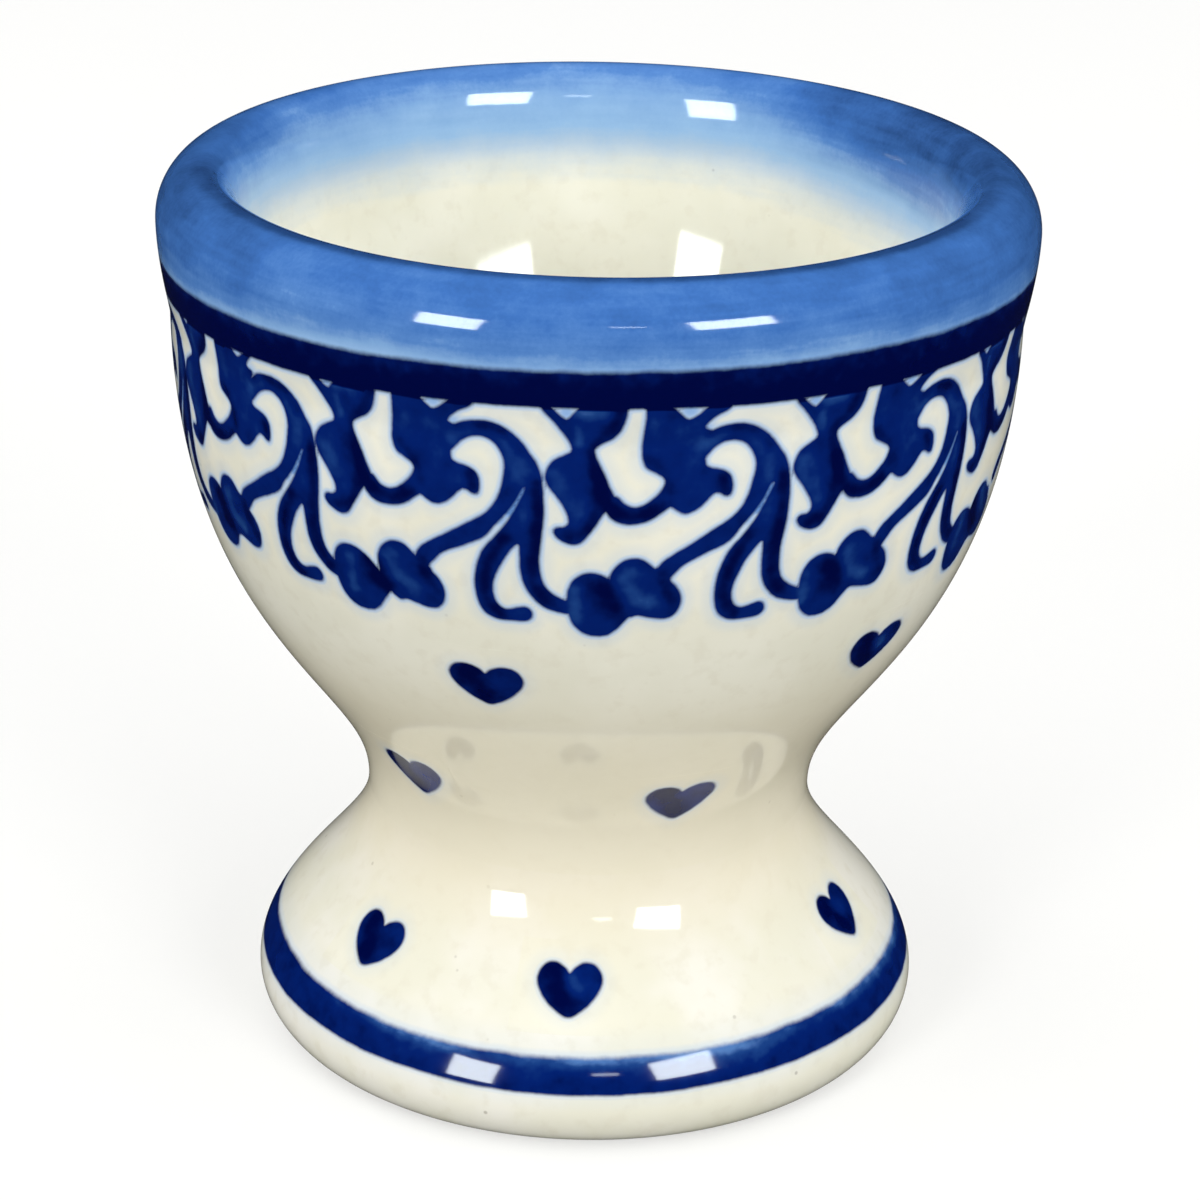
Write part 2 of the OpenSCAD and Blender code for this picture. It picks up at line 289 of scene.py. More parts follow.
# The repeat in the middle of the front stands as drawn, and some hearts beside it further off
for stamp in STAMPS:
    shifts[3, stamp] = np.zeros(2)
shifts[2, "left"] = np.array((-0.75, -0.15))
shifts[4, "left"] = np.array((0.1, 0.0))
shifts[5, "left"] = shifts[5, "right"] = np.array((-0.8, -0.7))

# How far from a painted edge its distance is still measured
INK_REACH = 1.4


def distance_inside(points, loop):
    """Distance of points to a closed loop, positive inside it, and -INK_REACH far from it."""
    low, high = loop.min(0) - INK_REACH, loop.max(0) + INK_REACH
    near = np.where(((points > low) & (points < high)).all(1))[0]
    x, y = points[near].T
    best = np.full(len(near), INK_REACH**2)
    odd = np.zeros(len(near), bool)
    for (x0, y0), (x1, y1) in zip(loop, np.roll(loop, -1, axis=0)):
        ax, ay = x1 - x0, y1 - y0
        if ax * ax + ay * ay < 1e-12:
            continue
        t = np.clip(((x - x0) * ax + (y - y0) * ay) / (ax * ax + ay * ay), 0, 1)
        best = np.minimum(best, (x - x0 - t * ax)**2 + (y - y0 - t * ay)**2)
        over = (y0 > y) != (y1 > y)
        odd ^= over & (x < x0 + (y - y0) * ax / (ay or 1e-12))
    out = np.full(len(points), -INK_REACH)
    out[near] = np.where(odd, 1, -1) * np.sqrt(best)
    return out


def glow(points, line, width):
    """A soft stroke along a line: one on it, and fading out over its width."""
    reach = 3 * width
    near = np.where(((points > line.min(0) - reach) & (points < line.max(0) + reach)).all(1))[0]
    x, y = points[near].T
    best = np.full(len(near), 1e9)
    for (x0, y0), (x1, y1) in zip(line, line[1:]):
        ax, ay = x1 - x0, y1 - y0
        t = np.clip(((x - x0) * ax + (y - y0) * ay) / (ax * ax + ay * ay), 0, 1)
        best = np.minimum(best, (x - x0 - t * ax)**2 + (y - y0 - t * ay)**2)
    out = np.zeros(len(points))
    out[near] = np.exp(-best / width**2)
    return out


def border_paint(u, v):
    """Signed distance to the stamped colour, its depth of tone, and the tint of the ground."""
    ink = np.full(len(u), -INK_REACH)
    tone = np.zeros(len(u))
    tint = np.zeros(len(u))
    for place, start in enumerate(repeats):
        local = np.stack([(u - start + round_u / 2) % round_u - round_u / 2, v], 1)
        near = np.where((local[:, 0] > REPEAT_LEFT) & (local[:, 0] < REPEAT_RIGHT))[0]
        if not len(near):
            continue
        local = local[near]
        here = np.full(len(near), -INK_REACH)
        for stamp, loop in STAMPS.items():
            here = np.maximum(here, distance_inside(local, smooth_loop(loop) + shifts[place, stamp]))
        for chip in CHIPS:
            here = np.minimum(here, -distance_inside(local, smooth_loop(chip)))
        ink[near] = np.maximum(ink[near], here)
        for strokes, sign in ((DARK_STROKES, 1), (LIGHT_STROKES, -1)):
            for points, width, strength in strokes:
                tone[near] += sign * strength * glow(local, smooth_loop(points, closed=False), width)
        for centre, reach, depth in TINTS:
            d = np.hypot(*(local - centre).T)
            tint[near] = np.maximum(tint[near], depth * np.exp(-(d / reach)**2))
    return ink, tone, tint


# Single hearts: angle round from the front, and height of the middle
HEARTS = [
    (-15.0, 31.5), (47.0, 31.5), (107.0, 31.5), (164.0, 31.5), (226.0, 31.5), (284.0, 31.5),
    (-42.0, 20.9), (20.5, 20.9), (80.0, 20.9), (141.0, 20.9), (199.0, 20.9), (260.0, 20.9),
    (-48.0, 9.4), (-3.0, 9.4), (67.0, 9.4), (118.0, 9.4), (174.0, 9.4), (231.0, 9.4),
]
HEART = [
    (0.0, 0.88), (0.35, 1.22), (0.95, 1.5), (1.6, 1.42), (2.02, 0.95), (2.1, 0.3),
    (1.72, -0.48), (1.05, -1.18), (0.36, -1.68), (0.0, -1.8), (-0.36, -1.68), (-1.05, -1.18),
    (-1.72, -0.48), (-2.1, 0.3), (-2.02, 0.95), (-1.6, 1.42), (-0.95, 1.5), (-0.35, 1.22),
]
# How the heart prints: narrower on the foot, darker along a stroke, and worn in a spot whose
# depth changes from heart to heart
FOOT_HEART_SHARE = (0.93, 1.0)
HEART_STROKE, STROKE_DEPTH, STROKE_W = [(-0.9, 1.0), (-0.2, -0.8)], 0.9, 0.8
HEART_SPOT, SPOT_DEPTHS, SPOT_W = [(0.1, 0.5), (0.5, 0.0)], (0.3, 1.3, 0.9, 0.6), 0.6
HEART_TONE = 0.25


def unsteady(turn, size, seed, octaves=4):
    """The wander of a brush on the turning cup: a smooth closed wave round it."""
    rng = np.random.default_rng(seed)
    out = np.zeros(len(turn))
    for number in range(octaves):
        cycles = rng.integers(2**(number + 1), 2**(number + 2))
        out += size * 0.6**number * np.sin(cycles * turn + rng.uniform(0, 2 * math.pi))
    return out


def collar_top(u):
    """Height along the wall of the painted collar's upper edge, which sinks a little sideways."""
    return 2.55 - 0.8 * (1 - np.exp(-((u - 7.0) / 30.0)**2)) + unsteady(u / BELT_R, 0.03, seed=5)


def collar_foot(u):
    """The same of its lower edge."""
    return 0.42 - 0.5 * (1 - np.exp(-((u - 5.0) / 24.0)**2)) + unsteady(u / BELT_R, 0.04, seed=6)


def foot_ring_paint(turn, z):
    """Signed distance to the ring brushed on the foot, and the streaks that the brush left."""
    low = RING_LOW_H + unsteady(turn, 0.03, seed=7)
    top = RING_TOP_H + unsteady(turn, 0.05, seed=8)
    up = np.clip((z - low) / (top - low), -0.5, 1.5)
    ink = np.minimum(z - low, (top - z) * 0.7)
    # Thin at the upper edge, most so on the right, and in a broken streak along the middle
    brush = unsteady(turn + 0.3 * up, 0.3, seed=9, octaves=7)
    thin = np.clip(0.35 + 0.65 * np.sin(turn + 0.5) + brush, 0, 1.5)
    streak = np.clip(unsteady(turn - 0.2 * up, 0.7, seed=10, octaves=6), 0, 1)
    tone = 0.15 - 2.1 * np.exp(-((up - 1.0) / 0.27)**2) * thin
    tone -= 0.7 * np.exp(-((up - 0.55) / 0.3)**2) * streak
    return ink, tone


# How much more blue round the lip, partly left by the spray and partly painted: painted shade at the
# sides, painted light near the highlights. Degrees from the front, outside and on the crest
LIP_TURNS = [-180, -144, -120, -102, -75, -58, -48, -38, -26, -14, 0, 20, 28, 39, 47, 62, 76, 100,
             118, 131, 150, 165, 180]
LIP_OUTSIDE_SPRAY_AND_SHADE = [0, 0, 0.08, 0.12, 0.08, 0.04, 0, -0.08, -0.08, 0, 0.02, 0.04, 0, 0.04, 0.08, 0.12,
               0.16, 0.12, 0.08, 0, 0, 0, 0]
LIP_CREST_SPRAY_AND_SHADE = [-0.18, -0.12, -0.05, 0.1, 0.18, 0.18, 0.08, -0.06, -0.04, 0, 0, 0, 0.02, 0.05, 0.1, 0.12,
             0.2, 0.25, 0.3, 0.22, -0.04, -0.16, -0.18]
# How it comes in above the collar outside: height over the collar, depth of the spray
CLIMB_HEIGHTS = [-0.5, -0.2, 0.1, 0.4, 1.15, 1.9, 3.0]
CLIMB_DEPTHS = [0, 0.55, 0.58, 0.64, 0.8, 0.92, 0.97]
# How it fades into the mouth: height, depth of the spray
SPRAY_HEIGHTS = [48.2, 48.8, 49.5, 50.3, 51.1, 51.9, 52.8, 53.5, 54.3, 55, 55.7, 56.2]
SPRAY_DEPTHS = [0, 0.04, 0.09, 0.18, 0.33, 0.45, 0.55, 0.61, 0.7, 0.82, 0.93, 1.0]
# How much deeper the spray reaches into the mouth on the right: degrees, millimetres
REACH_TURNS = [-180, 60, 105, 128, 150, 170, 180]
REACH_INSIDE = [0, 0, 1.7, 1.3, 0, -0.2, 0]
# Painted shade: a fine dark line along the very crest in front, where it turns away from view, added as
# deeper spray: depth of the spray, height
CREST_SHADE_LINE, CREST_SHADE_LINE_H = 0.36, 0.08
# The crest's change comes in inside the mouth above this height, over so many millimetres, and
# outside it is whole from this far below the top
CREST_LOW_H, CREST_RISE, CREST_DROP = 52.4, 2.8, 0.8
# How low and high the collar and border reach along the wall, and the ring's paint on the foot
BELT_LOW, BELT_HIGH = -15.5, 3.5
RING_REACH_LOW, RING_REACH_HIGH, RING_HEART_H = 2.0, 9.0, 7.6
# Deeper than this behind the outer line is the inner wall
OUTER_DEPTH = 1.2
# A tint below nothing takes that share off the haze
HALF_HAZE = -0.5

# What is painted, as attributes of a mesh's points: distance inside the stamped or brushed
# colour in millimetres, how thick it lies, the tint of the ground, and the spray's depth, with painted
# shade and light on the lip added in
MARKS = ("ink", "tone", "tint", "spray_and_shade")


def paint(points):
    """What the decorator put at each point of the glazed surface, with painted shade and light on the
    lip, in millimetres.
    """
    x, y, z = points.T
    r = np.hypot(x, y)
    turn = np.arctan2(x, -y)
    u = turn * BELT_R
    v = run_at(wall, np.minimum(z, WIDE_H)) - run_at(wall, BELT_H)
    upper = z > WAIST_H
    behind = r < radius_at(wall, np.minimum(z, WIDE_H)) - OUTER_DEPTH
    inside = upper & behind & ((r < CREST_R) | (z < NECK_H))
    out = upper & ~inside
    ink = np.full(len(z), -INK_REACH)
    tone, tint, spray_and_shade = np.zeros((3, len(z)))
    belt = out & (v > BELT_LOW) & (v < BELT_HIGH)
    if belt.any():
        stamped, tone[belt], tint[belt] = border_paint(u[belt], v[belt])
        # The collar: a soft edge above, a crisp one below, and colour that thins upwards
        low, top = collar_foot(u[belt]), collar_top(u[belt])
        band = np.minimum((top - v[belt]) * 0.6, v[belt] - low)
        deep = 1.5 - 0.9 * np.clip((v[belt] - low) / (top - low), 0, 1)
        tone[belt] = np.where(band > -0.15, deep, tone[belt])
        ink[belt] = np.maximum(stamped, band)
    ring = ~upper & (z > RING_REACH_LOW) & (z < RING_REACH_HIGH)
    ring &= r > radius_at(foot_wall, z) - OUTER_DEPTH
    ink[ring], tone[ring] = foot_ring_paint(turn[ring], z[ring])
    tint[ring] = HALF_HAZE
    # The spray is thin just above the collar, full on the crest and fades out inside
    degrees = np.degrees(turn)
    climb = v + np.maximum(z - WIDE_H, 0) - collar_top(u)
    spray_and_shade[out] = np.interp(climb[out], CLIMB_HEIGHTS, CLIMB_DEPTHS)
    # Painted shade along the crest's edge, on the front only
    front = np.clip(1.4 * np.cos(turn), 0, 1)
    spray_and_shade[upper] += (CREST_SHADE_LINE * front * np.exp(-((CUP_H - z) / CREST_SHADE_LINE_H)**2))[upper]
    fade = z + np.interp(degrees, REACH_TURNS, REACH_INSIDE) + unsteady(turn, 0.1, seed=11, octaves=3)
    spray_and_shade[inside] += np.interp(fade[inside], SPRAY_HEIGHTS, SPRAY_DEPTHS)
    high = np.clip((z - WIDE_H) / (CUP_H - CREST_DROP - WIDE_H), 0, 1)
    share = np.where(inside, np.clip((fade - CREST_LOW_H) / CREST_RISE, 0, 1), high)
    # The lip's extra blue: partly the spray's own, partly painted shade at the sides and painted light
    # near the highlights
    outside, crest = (np.interp(degrees, LIP_TURNS, depths) for depths in (LIP_OUTSIDE_SPRAY_AND_SHADE, LIP_CREST_SPRAY_AND_SHADE))
    spray_and_shade += np.where(spray_and_shade > 0.3, crest * share + np.where(inside, 0, outside * (1 - share)), 0)
    return dict(zip(MARKS, (ink, tone, tint, spray_and_shade)))


def made_object(name, bm, material):
    mesh = bpy.data.meshes.new(name)
    bm.to_mesh(mesh)
    bm.free()
    mesh.materials.append(material)
    made = bpy.data.objects.new(name, mesh)
    bpy.context.scene.collection.objects.link(made)
    return made


# Edges that bend less than this are shaded smooth
SMOOTH_BEND = math.radians(32)


def finish_piece(name, bm, material, node, painted=paint):
    """A smooth piece that carries its paint, in the place of a node."""
    for face in bm.faces:
        face.smooth = True
    for edge in bm.edges:
        edge.smooth = edge.calc_face_angle(0.0) < SMOOTH_BEND
    piece = made_object(name, bm, material)
    co = np.empty(len(piece.data.vertices) * 3)
    piece.data.vertices.foreach_get("co", co)
    for mark, values in painted(co.reshape(-1, 3) / MM).items():
        layer = piece.data.attributes.new(mark, "FLOAT", "POINT")
        layer.data.foreach_set("value", values.astype(np.float32))
    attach(piece, "root")
    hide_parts(node)


# How often the narrow wedge of a turned piece is doubled until it closes
DOUBLINGS = 6


def turned(outline, turns, closed=False):
    """A piece turned about the cup's axis, with a number of steps round it."""
    bm = bmesh.new()
    verts = [bm.verts.new((r * MM, 0, z * MM)) for r, z in outline]
    pairs = list(zip(verts, verts[1:])) + ([(verts[-1], verts[0])] if closed else [])
    edges = [bm.edges.new(pair) for pair in pairs]
    wedge = 2 * math.pi / 2**DOUBLINGS
    bmesh.ops.spin(bm, geom=verts + edges, cent=(0, 0, 0), axis=(0, 0, 1),
                   angle=wedge, steps=turns // 2**DOUBLINGS, use_merge=False)
    for doubling in range(DOUBLINGS):
        copy = bmesh.ops.duplicate(bm, geom=bm.verts[:] + bm.edges[:] + bm.faces[:])["geom"]
        bmesh.ops.rotate(bm, verts=[part for part in copy if isinstance(part, bmesh.types.BMVert)],
                         cent=(0, 0, 0), matrix=Matrix.Rotation(wedge * 2**doubling, 3, "Z"))
    bmesh.ops.remove_doubles(bm, verts=bm.verts, dist=1e-6)
    bmesh.ops.recalc_face_normals(bm, faces=bm.faces)
    return bm


def linear(code):
    """A colour written as sRGB hex, turned linear."""
    parts = [int(code[i:i + 2], 16) / 255 for i in (1, 3, 5)]
    return tuple(p / 12.92 if p <= 0.04045 else ((p + 0.055) / 1.055)**2.4 for p in parts) + (1.0,)


def emptied(owner):
    """The node tree of a new material or world, without its nodes."""
    owner.use_nodes = True
    owner.node_tree.nodes.clear()
    return owner.node_tree


def add(tree, kind, inputs=(), output=0, **settings):
    """Adds one node with its settings, sets or links its inputs, and returns one output."""
    made = tree.nodes.new("ShaderNode" + kind)
    for key, value in settings.items():
        setattr(made, key, value)
    for key, value in inputs.items() if isinstance(inputs, dict) else enumerate(inputs):
        if isinstance(value, bpy.types.NodeSocket):
            tree.links.new(value, made.inputs[key])
        else:
            made.inputs[key].default_value = value
    return made.outputs[output] if len(made.outputs) else None


# Settings of a Map Range node that rises softly, and of a Mix node for colours, whose
# sockets are 0 for the share, 6 and 7 for the colours and 2 for the result
SOFT = {"interpolation_type": "SMOOTHSTEP"}
MIX = {"data_type": "RGBA", "output": 2}

# What is uneven in clay, spray, cobalt and glaze: size in millimetres, detail, roughness. The
# mist's droplets are under 0.1 mm, and are drawn coarser so that they show
UNEVEN = {
    "clouds": (7.0, 3.0, 0.5), "grain": (1.1, 4.0, 0.5), "mist": (0.25, 2.0, 0.6),
    "drift": (2.6, 4.0, 0.55), "frayed": (0.3, 2.0, 0.5), "wobble": (1.5, 1.0, 0.5),
    "patches": (1.1, 2.0, 0.5), "swell": (3.0, 1.0, 0.5),
}
# Sizes in millimetres of the cells, some of which hold a speck, of the spray's streaks and of
# the bare ring's sand, and the depth of the glaze's swell
SPECK_CELL, STREAK, SAND, SWELL_DEPTH = 1.9, 0.5, 0.6, 0.006
GLAZE_ROUGHNESS, CLAY_ROUGHNESS, GLAZE_IOR = 0.07, 0.7, 1.38


def glazed_stoneware(name, clay="#F0EEDE", bare_ring=False):
    """Stoneware under a clear glaze with cobalt painted and sprayed beneath it: a wet, even
    gloss over a cream body with fine specks, deep blue that clouds at its edges."""
    material = bpy.data.materials.new(name)
    tree = emptied(material)
    where = add(tree, "TexCoord", output="Object")
    ink, tone, tint, spray_and_shade = (add(tree, "Attribute", output="Fac", attribute_name=mark)
                              for mark in MARKS)
    noise = {}
    for kind, (size, detail, roughness) in UNEVEN.items():
        noise[kind] = add(tree, "TexNoise", {"Vector": where, "Scale": 1 / (size * MM),
                                             "Detail": detail, "Roughness": roughness})

    # Cream body: faint clouds 7 mm across, a grain of 1.1 mm, and iron specks
    body = linear(clay)
    for kind, low, high, most, shade in (("clouds", 0.35, 0.65, 1.0, "#EAE8D6"),
                                         ("grain", 0.5, 0.72, 0.3, "#DFDAC6")):
        share = add(tree, "MapRange", [noise[kind], low, high, 0.0, most], **SOFT)
        body = add(tree, "Mix", {0: share, 6: body, 7: linear(shade)}, **MIX)
    cell = add(tree, "TexVoronoi", {"Vector": where, "Scale": 1 / (SPECK_CELL * MM)}, "Distance")
    chance = add(tree, "SeparateColor", [cell.node.outputs["Color"]])
    dot = add(tree, "MapRange", [cell, 0.03, 0.09, 1.0, 0.0], **SOFT)
    chance = add(tree, "MapRange", [chance, 0.6, 1.0, 0.0, 0.55], **SOFT)
    speck = add(tree, "Math", [dot, chance], operation="MULTIPLY")
    body = add(tree, "Mix", {0: speck, 6: body, 7: linear("#8C8270")}, **MIX)
    # Warmer and a little darker round the waist
    height = add(tree, "SeparateXYZ", [where], "Z")
    above = add(tree, "MapRange", [height, 9 * MM, 15 * MM], **SOFT)
    below = add(tree, "MapRange", [height, 24 * MM, 34 * MM, 1.0, 0.0], **SOFT)
    waist_warmth = add(tree, "Math", [above, below], operation="MULTIPLY")
    waist_warmth = add(tree, "Math", [waist_warmth, 0.7], operation="MULTIPLY")
    body = add(tree, "Mix", {0: waist_warmth, 6: body, 7: linear("#EFE6CC")}, **MIX)

    # Sprayed blue: fine droplets over a slow drift, pale where it is thin, deep on the crest; its
    # deeper shades also give the painted shade on the lip's crest and sides
    along = add(tree, "Mapping", {"Vector": where, "Scale": (0.1, 0.1, 1.0)})
    streaks = add(tree, "TexNoise", {"Vector": along, "Scale": 1 / (STREAK * MM), "Detail": 2.0})
    uneven = 0.0
    for wave, amount in ((streaks, 0.3), (noise["drift"], 0.5), (noise["mist"], 0.16)):
        wave = add(tree, "Math", [wave, 0.5], operation="SUBTRACT")
        uneven = add(tree, "Math", [wave, amount, uneven], operation="MULTIPLY_ADD")
    full = add(tree, "MapRange", [spray_and_shade, 0.5, 0.95, 0.25, 1.0], **SOFT)
    cover = add(tree, "Math", [uneven, full, spray_and_shade], operation="MULTIPLY_ADD")
    thin = add(tree, "Math", [cover, 2.0], operation="MULTIPLY", use_clamp=True)
    blue = add(tree, "Mix", {0: thin, 6: body, 7: linear("#95BCE3")}, **MIX)
    for low, high, shade in ((0.5, 0.78, "#5685C6"), (0.78, 1.0, "#3E6EB5"), (1.0, 1.4, "#26477C")):
        share = add(tree, "MapRange", [cover, low, high])
        blue = add(tree, "Mix", {0: share, 6: blue, 7: linear(shade)}, **MIX)
    share = add(tree, "MapRange", [spray_and_shade, 0.0, 0.06], **SOFT)
    colour = add(tree, "Mix", {0: share, 6: body, 7: blue}, **MIX)

    # A light haze where cobalt bleeds into the glaze, and a tint between close stamps
    edge = add(tree, "Math", [ink, 0.07], operation="ADD")
    for kind, amount in (("wobble", 0.1), ("frayed", 0.05)):
        wave = add(tree, "Math", [noise[kind], 0.5], operation="SUBTRACT")
        edge = add(tree, "Math", [wave, amount, edge], operation="MULTIPLY_ADD")
    close = add(tree, "MapRange", [edge, -0.42, -0.04, 0.0, 0.8], **SOFT)
    wide = add(tree, "MapRange", [edge, -1.2, -0.2, 0.0, 0.22], **SOFT)
    haze = add(tree, "Math", [close, wide], operation="MAXIMUM")
    held = add(tree, "Math", [tint, 0.0], operation="MINIMUM")
    haze = add(tree, "Math", [haze, held, haze], operation="MULTIPLY_ADD")
    tinted = add(tree, "Math", [tint, 0.95], operation="MULTIPLY")
    haze = add(tree, "Math", [haze, tinted], operation="MAXIMUM")
    unsprayed = add(tree, "MapRange", [spray_and_shade, 0.0, 0.7, 1.0, 0.0], **SOFT)
    haze = add(tree, "Math", [haze, unsprayed], operation="MULTIPLY")
    colour = add(tree, "Mix", {0: haze, 6: colour, 7: linear("#A8C6EA")}, **MIX)
    share = add(tree, "MapRange", [tint, 0.7, 1.6, 0.0, 0.9], **SOFT)
    colour = add(tree, "Mix", {0: share, 6: colour, 7: linear("#6796D4")}, **MIX)

    # The stamped and brushed cobalt itself, cloudy, nearly black where it is thick
    wave = add(tree, "Math", [noise["patches"], 0.5], operation="SUBTRACT")
    thick = add(tree, "Math", [wave, 1.6, tone], operation="MULTIPLY_ADD")
    cobalt = linear("#031F69")
    for low, high, bottom, top, shade in ((-0.3, 1.1, 0.0, 1.0, "#00073E"),
                                          (-1.3, -0.2, 0.75, 0.0, "#1E4688"),
                                          (-2.2, -1.1, 0.7, 0.0, "#5E8BC8")):
        share = add(tree, "MapRange", [thick, low, high, bottom, top], **SOFT)
        cobalt = add(tree, "Mix", {0: share, 6: cobalt, 7: linear(shade)}, **MIX)
    share = add(tree, "MapRange", [edge, -0.13, 0.12], **SOFT)
    colour = add(tree, "Mix", {0: share, 6: colour, 7: cobalt}, **MIX)

    # Glaze: nearly mirror smooth, with an orange-peel swell of a few thousandths of a millimetre
    swell = add(tree, "Bump", {"Strength": 1.0, "Distance": SWELL_DEPTH * MM, "Height": noise["swell"]})
    roughness = GLAZE_ROUGHNESS
    if bare_ring:
        # The ring that stands in the kiln is wiped clean: bare, dry, sandy clay
        lowest = add(tree, "MapRange", [height, 0.1 * MM, 0.25 * MM, 1.0, 0.0], **SOFT)
        sand = add(tree, "TexNoise", {"Vector": where, "Scale": 1 / (SAND * MM), "Detail": 2.0})
        sand = add(tree, "MapRange", [sand, 0.2, 0.35], **SOFT)
        bare = add(tree, "Math", [lowest, sand], operation="MULTIPLY")
        colour = add(tree, "Mix", {0: bare, 6: colour, 7: linear("#C9B79A")}, **MIX)
        roughness = add(tree, "MapRange", [bare, 0.0, 1.0, GLAZE_ROUGHNESS, CLAY_ROUGHNESS], **SOFT)
    glaze = add(tree, "BsdfPrincipled", {"Base Color": colour, "Roughness": roughness,
                                         "IOR": GLAZE_IOR, "Normal": swell})
    add(tree, "OutputMaterial", {"Surface": glaze})
    return material


def skin(outer, step, turns):
    """A closed skin of colour, drawn in by its own thickness behind its outer line. Its back,
    which nobody sees, has a sixth of the points."""
    outer = spaced(outer, step)
    slope = np.gradient(outer, axis=0)
    out = np.stack([slope[:, 1], -slope[:, 0]], 1) / np.hypot(*slope.T)[:, None]
    inner = outer - COLOUR_T * out
    return turned(np.concatenate([outer, inner[-1:], inner[::6][::-1]]), turns, closed=True)


# Steps round the clay pieces, how far clay reaches under the lip's skin, and the lip's half width
CLAY_TURNS = 320
UNDERLAP, LIP_HALF_W = 0.4, 2.4

# The lip under its skin lies inside it by the skin's thickness
hidden_lip = lip.copy()
hidden_lip[:, 0] = CREST_R + (hidden_lip[:, 0] - CREST_R) * (1 - COLOUR_T / LIP_HALF_W)
hidden_lip[:, 1] -= COLOUR_T
bowl_line = joined(
    np.array([[0, SLIP_TOP_H]]),
    spaced(stretch(wall, SLIP_TOP_H, BORDER_H), 0.4),
    spaced(stretch(wall, BORDER_H, WIDE_H - UNDERLAP, COLOUR_T), 1.5),
    hidden_lip[::6],
    spaced(stretch(well, SPRAY_H, MOUTH_H - UNDERLAP, -COLOUR_T)[::-1], 1.0),
    spaced(stretch(well, WELL_H + 0.02, SPRAY_H)[::-1], 0.4),
    np.array([[0, WELL_H]]))
finish_piece("stoneware_bowl", turned(bowl_line, CLAY_TURNS),
             glazed_stoneware("clear_glazed_stoneware"), "bowl")

foot_line = joined(
    np.array([[0, HOLLOW_H]]), spaced(hollow, 0.5)[1:],
    spaced(stretch(foot_wall, 0, RING_LOW_H), 0.3),
    stretch(foot_wall, RING_LOW_H, RING_TOP_H, COLOUR_T)[::8],
    spaced(stretch(foot_wall, RING_TOP_H, SLIP_LOW_H), 0.4),
    np.array([[0, SLIP_LOW_H]]))
# The foot's clay is a little lighter and less yellow than the bowl's: painted light for the brighter
# foot
finish_piece("stoneware_foot", turned(foot_line, CLAY_TURNS),
             glazed_stoneware("clear_glazed_foot", clay="#F1EFE4", bare_ring=True), "pedestal_foot")

slip_line = np.concatenate([
    [[0, SLIP_LOW_H]], spaced(stretch(foot_wall, SLIP_LOW_H, WAIST_H), 0.1),
    spaced(stretch(wall, WAIST_H, SLIP_TOP_H), 0.1)[1:], [[0, SLIP_TOP_H]]])
finish_piece("waist_slip", turned(slip_line, CLAY_TURNS),
             glazed_stoneware("clear_glazed_slip"), "joint_slip")

lip_line = joined(stretch(wall, COLLAR_TOP_H, WIDE_H), lip, stretch(well, SPRAY_H, MOUTH_H)[::-1])
finish_piece("sprayed_lip", skin(lip_line, 0.18, 384),
             glazed_stoneware("sprayed_blue_glaze"), "lip_colour")

finish_piece("painted_collar", skin(stretch(wall, COLLAR_H, COLLAR_TOP_H), 0.12, 704),
             glazed_stoneware("navy_banded_glaze"), "collar_band")

finish_piece("stamped_border", skin(stretch(wall, BORDER_H, COLLAR_H), 0.165, 960),
             glazed_stoneware("cobalt_stamped_glaze"), "vine_border")

finish_piece("painted_foot_ring", skin(stretch(foot_wall, RING_LOW_H, RING_TOP_H), 0.12, 512),
             glazed_stoneware("navy_brushed_glaze"), "foot_band")

# Half size of a heart's patch across and up, its height over the wall, just clear of the
# wall's facets, and its thickness
PATCH_ACROSS, PATCH_UP, PATCH_LIFT, PATCH_T = 3.3, 2.9, 0.003, 0.2
# The part of the wall on either side of a point that gives its slope
SLOPE_REACH = 0.05


def heart_patches():
    """Small closed patches of the glazed wall, each with a stamped heart in its middle."""
    bm = bmesh.new()
    for angle, height in HEARTS:
        line = wall if height > WAIST_H else foot_wall
        run = run_along(line)
        middle = run_at(line, height)
        r0 = radius_at(line, height)
        made = bmesh.ops.create_grid(bm, x_segments=44, y_segments=38, size=1.0)["verts"]
        for vert in made:
            across, up = vert.co.x * PATCH_ACROSS, vert.co.y * PATCH_UP
            s = middle + up
            (r, r_under, r_over), (z, z_under, z_over) = (
                np.interp((s, s - SLOPE_REACH, s + SLOPE_REACH), run, side) for side in line.T)
            dr, dz = r_over - r_under, z_over - z_under
            size = math.hypot(dr, dz)
            r += PATCH_LIFT * dz / size
            z -= PATCH_LIFT * dr / size
            turn = math.radians(angle) + across / r0
            vert.co = (r * math.sin(turn) * MM, -r * math.cos(turn) * MM, z * MM)
    bmesh.ops.recalc_face_normals(bm, faces=bm.faces)
    outward = sum((f.normal.x * f.calc_center_median().x + f.normal.y * f.calc_center_median().y)
                  for f in bm.faces)
    if outward < 0:
        bmesh.ops.reverse_faces(bm, faces=bm.faces)
    bmesh.ops.solidify(bm, geom=bm.faces[:], thickness=PATCH_T * MM)
    return bm


